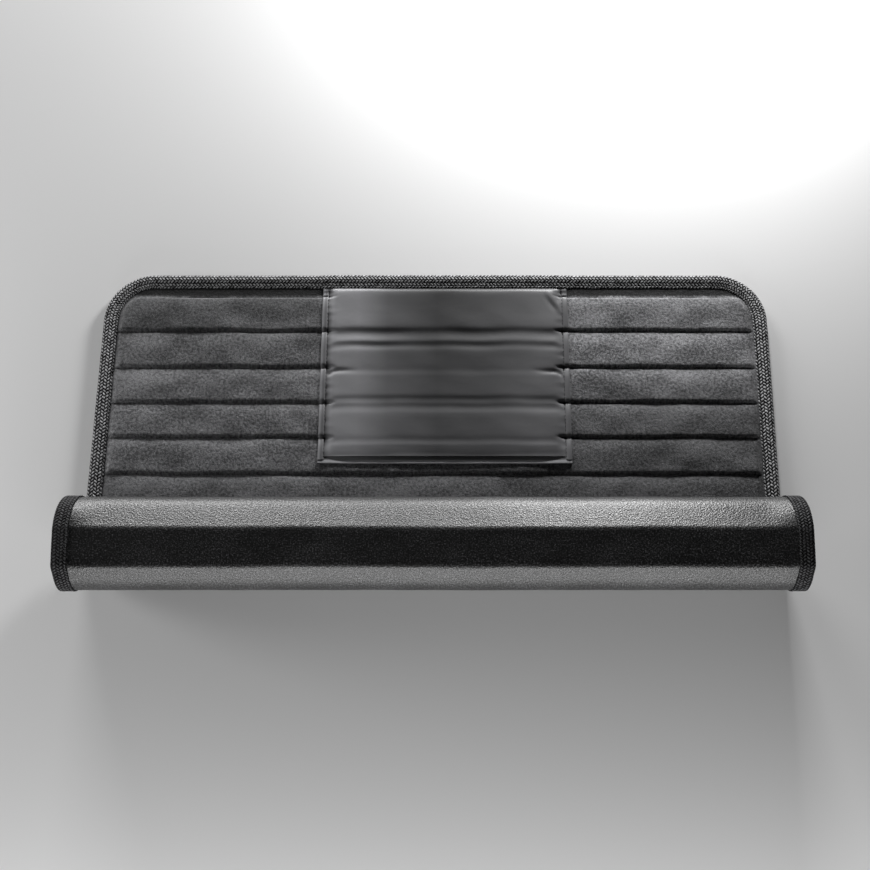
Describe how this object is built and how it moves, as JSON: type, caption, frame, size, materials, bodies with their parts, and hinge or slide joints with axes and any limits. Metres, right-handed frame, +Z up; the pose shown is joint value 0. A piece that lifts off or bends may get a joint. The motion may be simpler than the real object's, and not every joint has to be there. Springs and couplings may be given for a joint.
{
  "type": "kayak roof pad",
  "caption": "Quilted protective mat for sliding a kayak onto a car roof: padded face, grippy rubber underside, tape-bound edge and nylon patch, lying flat behind and rolled up in front.",
  "frame": {"origin": "on the surface that the mat lies on, under the middle of its overall box", "axes": "+X along the mat's width and the roll, +Y from the roll towards the far edge, +Z up, out of the padded face where the mat lies flat"},
  "size_m": [0.75, 0.3704, 0.0994],
  "materials": {
    "face": "brushed charcoal knit, soft and matt, sewn in channels",
    "foam": "open soft foam, dark grey, hidden between the layers",
    "backing": "black rubberised sheet with a fine grain and a low sheen",
    "binding": "coarse woven tape in black and grey yarns, folded round the edge",
    "patch": "dark grey satin nylon, smooth with soft creases"
  },
  "bodies": {
    "root": {"quilted_face": "face", "foam_padding": "foam", "rubber_backing": "backing", "edge_binding": "binding", "nylon_patch": "patch"}
  },
  "joints": []
}
